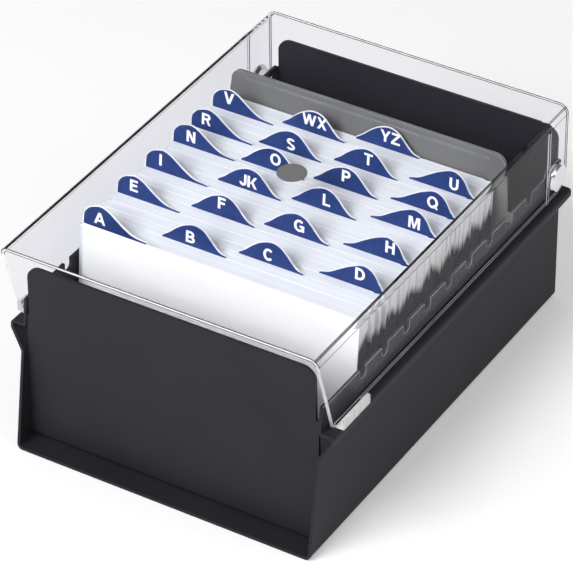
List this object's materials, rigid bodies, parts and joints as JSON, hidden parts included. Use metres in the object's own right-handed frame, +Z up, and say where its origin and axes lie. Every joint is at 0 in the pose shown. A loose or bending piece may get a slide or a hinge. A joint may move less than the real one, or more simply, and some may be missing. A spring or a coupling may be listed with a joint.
{
  "type": "index card drawer",
  "caption": "Open-fronted black steel card tray with notched rails, lettered guides, cards, a follower plate and a clear cover hinged at the rear.",
  "frame": {"origin": "bottom centre of the whole drawer, on the surface that it stands on", "axes": "+X across to the right, +Y from the open front to the hinge end, +Z up"},
  "size_m": [0.1204, 0.1622, 0.0778],
  "materials": {
    "black_steel": "satin powder coat",
    "clear_cover": "clear, polished",
    "bright_metal": "bright",
    "washer_plastic": "matte",
    "spot_grey": "matte",
    "card_stock": "matte paper",
    "guide_sheet": "coloured tab, pale sheet",
    "grey_steel": "satin"
  },
  "bodies": {
    "tray": {"tray_shell": "black_steel", "front_panel": "black_steel", "rear_panel": "black_steel", "card_support_left": "black_steel", "card_support_right": "black_steel", "hinge_stud_left": "bright_metal", "hinge_stud_right": "bright_metal", "hinge_washer_left": "washer_plastic", "hinge_washer_right": "washer_plastic", "index_cards": "card_stock", "guide_b": "guide_sheet", "guide_c": "guide_sheet", "guide_d": "guide_sheet", "guide_e": "guide_sheet", "guide_f": "guide_sheet", "guide_g": "guide_sheet", "guide_h": "guide_sheet", "guide_i": "guide_sheet", "guide_jk": "guide_sheet", "guide_l": "guide_sheet", "guide_m": "guide_sheet", "guide_n": "guide_sheet", "guide_o": "guide_sheet", "guide_p": "guide_sheet", "guide_q": "guide_sheet", "guide_r": "guide_sheet", "guide_s": "guide_sheet", "guide_t": "guide_sheet", "guide_u": "guide_sheet", "guide_v": "guide_sheet", "guide_wx": "guide_sheet", "guide_yz": "guide_sheet"},
    "cover": {"cover": "clear_cover", "cover_spot": "spot_grey"},
    "front_guide": {"guide_a": "guide_sheet"},
    "follower": {"follower": "grey_steel"}
  },
  "joints": [
    {"name": "cover_hinge", "type": "hinge", "parent": "tray", "child": "cover", "pos_m": [0, 0.07427, 0.0528], "axis": [-1, 0, 0], "range_deg": [0, 90]},
    {"name": "front_guide_leaf", "type": "hinge", "parent": "tray", "child": "front_guide", "pos_m": [-0.002, -0.04885, 0.00855], "axis": [1, 0, 0], "range_deg": [0, 26]},
    {"name": "follower_rock", "type": "hinge", "parent": "tray", "child": "follower", "pos_m": [0, 0.04521, 0.0522], "axis": [1, 0, 0], "range_deg": [-0.9, 2.8]}
  ]
}
